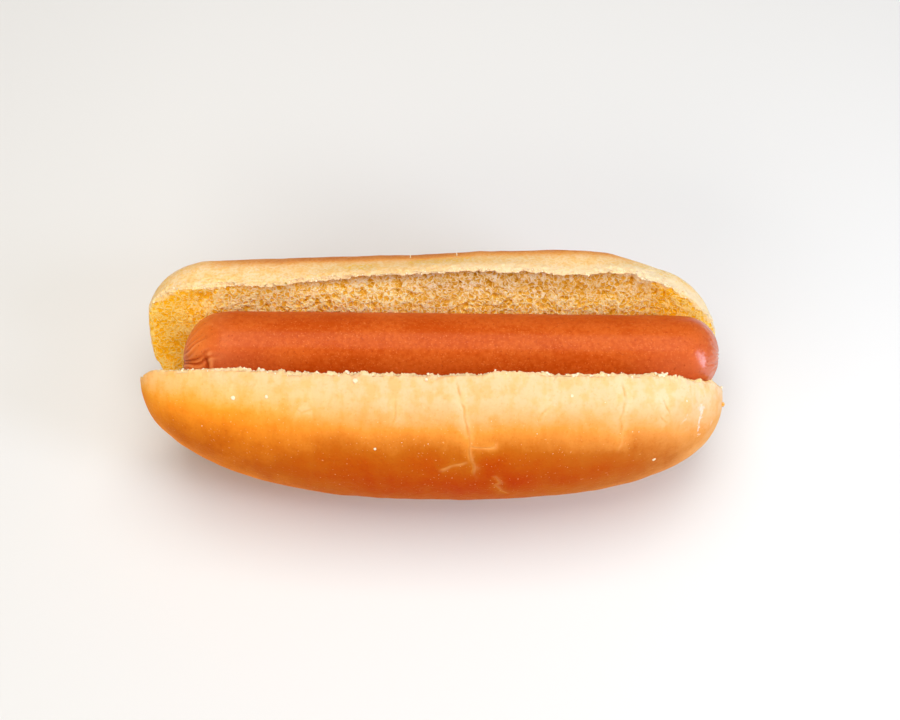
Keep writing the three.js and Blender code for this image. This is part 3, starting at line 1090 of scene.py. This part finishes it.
def add_tuft(pick, radii_mm, press, flatness, detail):
    radius = draw.uniform(*radii_mm) / MM
    way = Vector(bread_normals[pick]) + Vector(draw.uniform(-0.4, 0.4, 3))
    centre = Vector(bread_points[pick]) / MM + way * radius * press
    add_crumb(tuft_shape, centre, way, radius, draw.uniform(*flatness), detail)


for pick in draw.choice(candidates, SMALL_TUFTS, replace=False):
    add_tuft(pick, (0.16, 0.4), 0.4, (0.5, 1.1), detail=1)
dome_rim = candidates[on_dome[candidates]]
for middle, count in BIG_TUFTS:
    near = dome_rim[np.abs(bread_points[dome_rim, 0] - middle) < 0.9]
    for pick in draw.choice(near, min(count, len(near)), replace=False):
        add_tuft(pick, (0.3, 0.55), 0.3, (0.5, 0.9), detail=2)
print("tufts' faces:", len(tuft_shape.faces))

# %% [markdown]
# The crumbs' finish is the same cream as the strands, with a slight mottling.

# %% Crumb finish
crumb_finish, wire = new_finish("pale_crumb")
crumb_mottle = grain(wire, 0.6, 3.0)
close_finish(wire, {
    "Base Color": blend(crumb_mottle, (0.93, 0.72, 0.42), (0.97, 0.84, 0.62)),
    "Roughness": 0.7 + crumb_mottle * 0.2,
    "Normal": raised(crumb_mottle, strength=0.5, distance=0.0002),
    "Specular IOR Level": 0.25,
    "Subsurface Weight": 0.2,
    "Subsurface Radius": (1.0, 0.6, 0.3),
    "Subsurface Scale": 0.001,
})
finish_crumbs(tuft_shape, "rim_tufts", crumb_finish)

# %% [markdown]
# ## Loose flecks
# A few pale flecks lie on the dome's crust, tiny flakes stand around the dried smear, and two
# slivers of crumb point out of the base's crown. Each one's place is given in the closed loaf's
# directions, and then moved to the nearest point of the finished bread, so it lies on the surface.

# %% Place the flecks
bread_tree = BVHTree.FromObject(bread, bpy.context.evaluated_depsgraph_get())
FLECKS = [
    (-51.1, 40.6, 7.0, 0.55), (-42.6, 41.1, 6.5, 0.45), (-20.0, 41.7, 1.8, 0.7),
    (35.1, 41.8, 5.3, 0.4), (57.2, 29.1, 20.3, 0.45), (65.2, 35.6, 6.1, 0.32),
    (-15.0, 37.5, 18.6, 0.35),
]
SLIVERS = [(-6.6, 41.3, 10.3), (6.0, 41.5, 9.8)]
SMEAR_FLAKES = 30
CRUST_SPECKS = 12
fleck_shape = bmesh.new()


def add_fleck(x, above_slit, across_loaf, radius_mm, flatness, half=DOME):
    guess = fold(x, across_loaf, above_slit, half)
    spot, way, _, _ = bread_tree.find_nearest(guess)
    centre = spot + way * radius_mm / MM * flatness * 0.4
    add_crumb(fleck_shape, centre, way, radius_mm / MM, flatness, detail=2)


for x, above_slit, across_loaf, radius_mm in FLECKS:
    add_fleck(x, above_slit, across_loaf, radius_mm, 0.5)
for x, above_slit, across_loaf in SLIVERS:
    add_fleck(x, above_slit, across_loaf, 0.16, 4.0, BASE)
smear_line = np.array(SMEARS[0][1])
for _ in range(SMEAR_FLAKES):
    spot = smear_line[draw.integers(0, len(smear_line))] + draw.normal(0, 0.4, 3)
    add_fleck(*spot, draw.uniform(0.05, 0.17), 0.3)
for _ in range(CRUST_SPECKS):
    x = draw.uniform(-60, 70)
    add_fleck(x, 41.0 - draw.uniform(0, 9), draw.uniform(3, 22), draw.uniform(0.08, 0.16), 0.5)
finish_crumbs(fleck_shape, "loose_flecks", crumb_finish)

# %% [markdown]
# One golden crumb of crust clings to the bun's right end. It is toasted right through, so it has
# a finish of its own, amber with paler patches.

# %% The golden crumb
toasted_finish, wire = new_finish("toasted_crumb")
toasted_mottle = grain(wire, 0.5, 3.0)
close_finish(wire, {
    "Base Color": blend(mask(toasted_mottle, 0.4, 0.65), (0.85, 0.33, 0.03), (0.95, 0.6, 0.2)),
    "Roughness": 0.6 + toasted_mottle * 0.2,
    "Normal": raised(toasted_mottle, strength=0.5, distance=0.0002),
    "Specular IOR Level": 0.3,
})
fleck_shape = bmesh.new()
add_fleck(76.9, 21.8, 4.8, 0.62, 0.8)
finish_crumbs(fleck_shape, "golden_crumb", toasted_finish)

# %% [markdown]
# ## Floor, light and camera
# The floor is plain, pale and matt, so that nothing in the picture takes the eye from the food. It
# is a stage piece, which isn't part of the object.

# %% Floor
floor_shape = bmesh.new()
bmesh.ops.create_circle(floor_shape, cap_ends=True, segments=96, radius=3.0)
floor = add_object("floor", mesh_from(floor_shape, "floor"))
floor_finish, wire = new_finish("plain_floor")
close_finish(wire, {"Base Color": (0.76, 0.75, 0.73, 1), "Roughness": 0.8, "Specular IOR Level": 0.2})
floor.data.materials.append(floor_finish)
print("floor ready")

# %% [markdown]
# One broad soft light hangs overhead, as in a bright room, so the base's rim shades the crumb
# under it. A second from the front left opens the shadows and lights the dome, and a small cool
# one from the right puts a glint on the frankfurter's moist end. A faint grey-blue world fills
# the rest.

# %% Lights
def add_light(name, place, aim, size, power, colour):
    lamp = bpy.data.lights.new(name, "AREA")
    lamp.shape = "RECTANGLE"
    lamp.size = size[0]
    lamp.size_y = size[1]
    lamp.energy = power
    lamp.color = colour
    holder = add_object(name, lamp)
    holder.location = place
    holder.rotation_euler = (Vector(aim) - Vector(place)).to_track_quat("-Z", "Y").to_euler()
    holder.visible_camera = False


add_light("overhead", (0.0, 0.06, 0.62), (0, 0, 0.02), (0.5, 0.5), 3.5, (1.0, 0.97, 0.91))
add_light("front_fill", (-0.32, -0.59, 0.36), (0, 0, 0.02), (0.7, 0.35), 2.5, (1.0, 0.95, 0.88))
add_light("cool_side", (0.38, -0.18, 0.22), (0.07, 0, 0.035), (0.12, 0.38), 1.25, (0.66, 0.78, 1.0))
world = bpy.data.worlds.new("room")
world.use_nodes = True
sky = world.node_tree.nodes["Background"].inputs
sky["Color"].default_value = (0.94, 0.95, 1.0, 1)
sky["Strength"].default_value = 0.22
bpy.context.scene.world = world
print("lights:", [lamp.name for lamp in bpy.data.lights])

# %% [markdown]
# The camera looks down on the hot dog from the front, at 62.5 degrees above the horizon.

# %% Camera
TARGET = Vector((0.00413, 0.00616, 0.0249))
ELEVATION = math.radians(62.5)
DISTANCE = 0.425
camera_data = bpy.data.cameras.new("camera")
camera_data.lens = 61.95
camera_data.sensor_width = 36
camera_data.clip_start = 0.01
camera = add_object("camera", camera_data)
camera.location = TARGET + DISTANCE * Vector((0, -math.cos(ELEVATION), math.sin(ELEVATION)))
camera.rotation_euler = (math.radians(90) - ELEVATION, 0, 0)
bpy.context.scene.camera = camera
print("camera at, mm:", [round(MM * part) for part in camera.location])
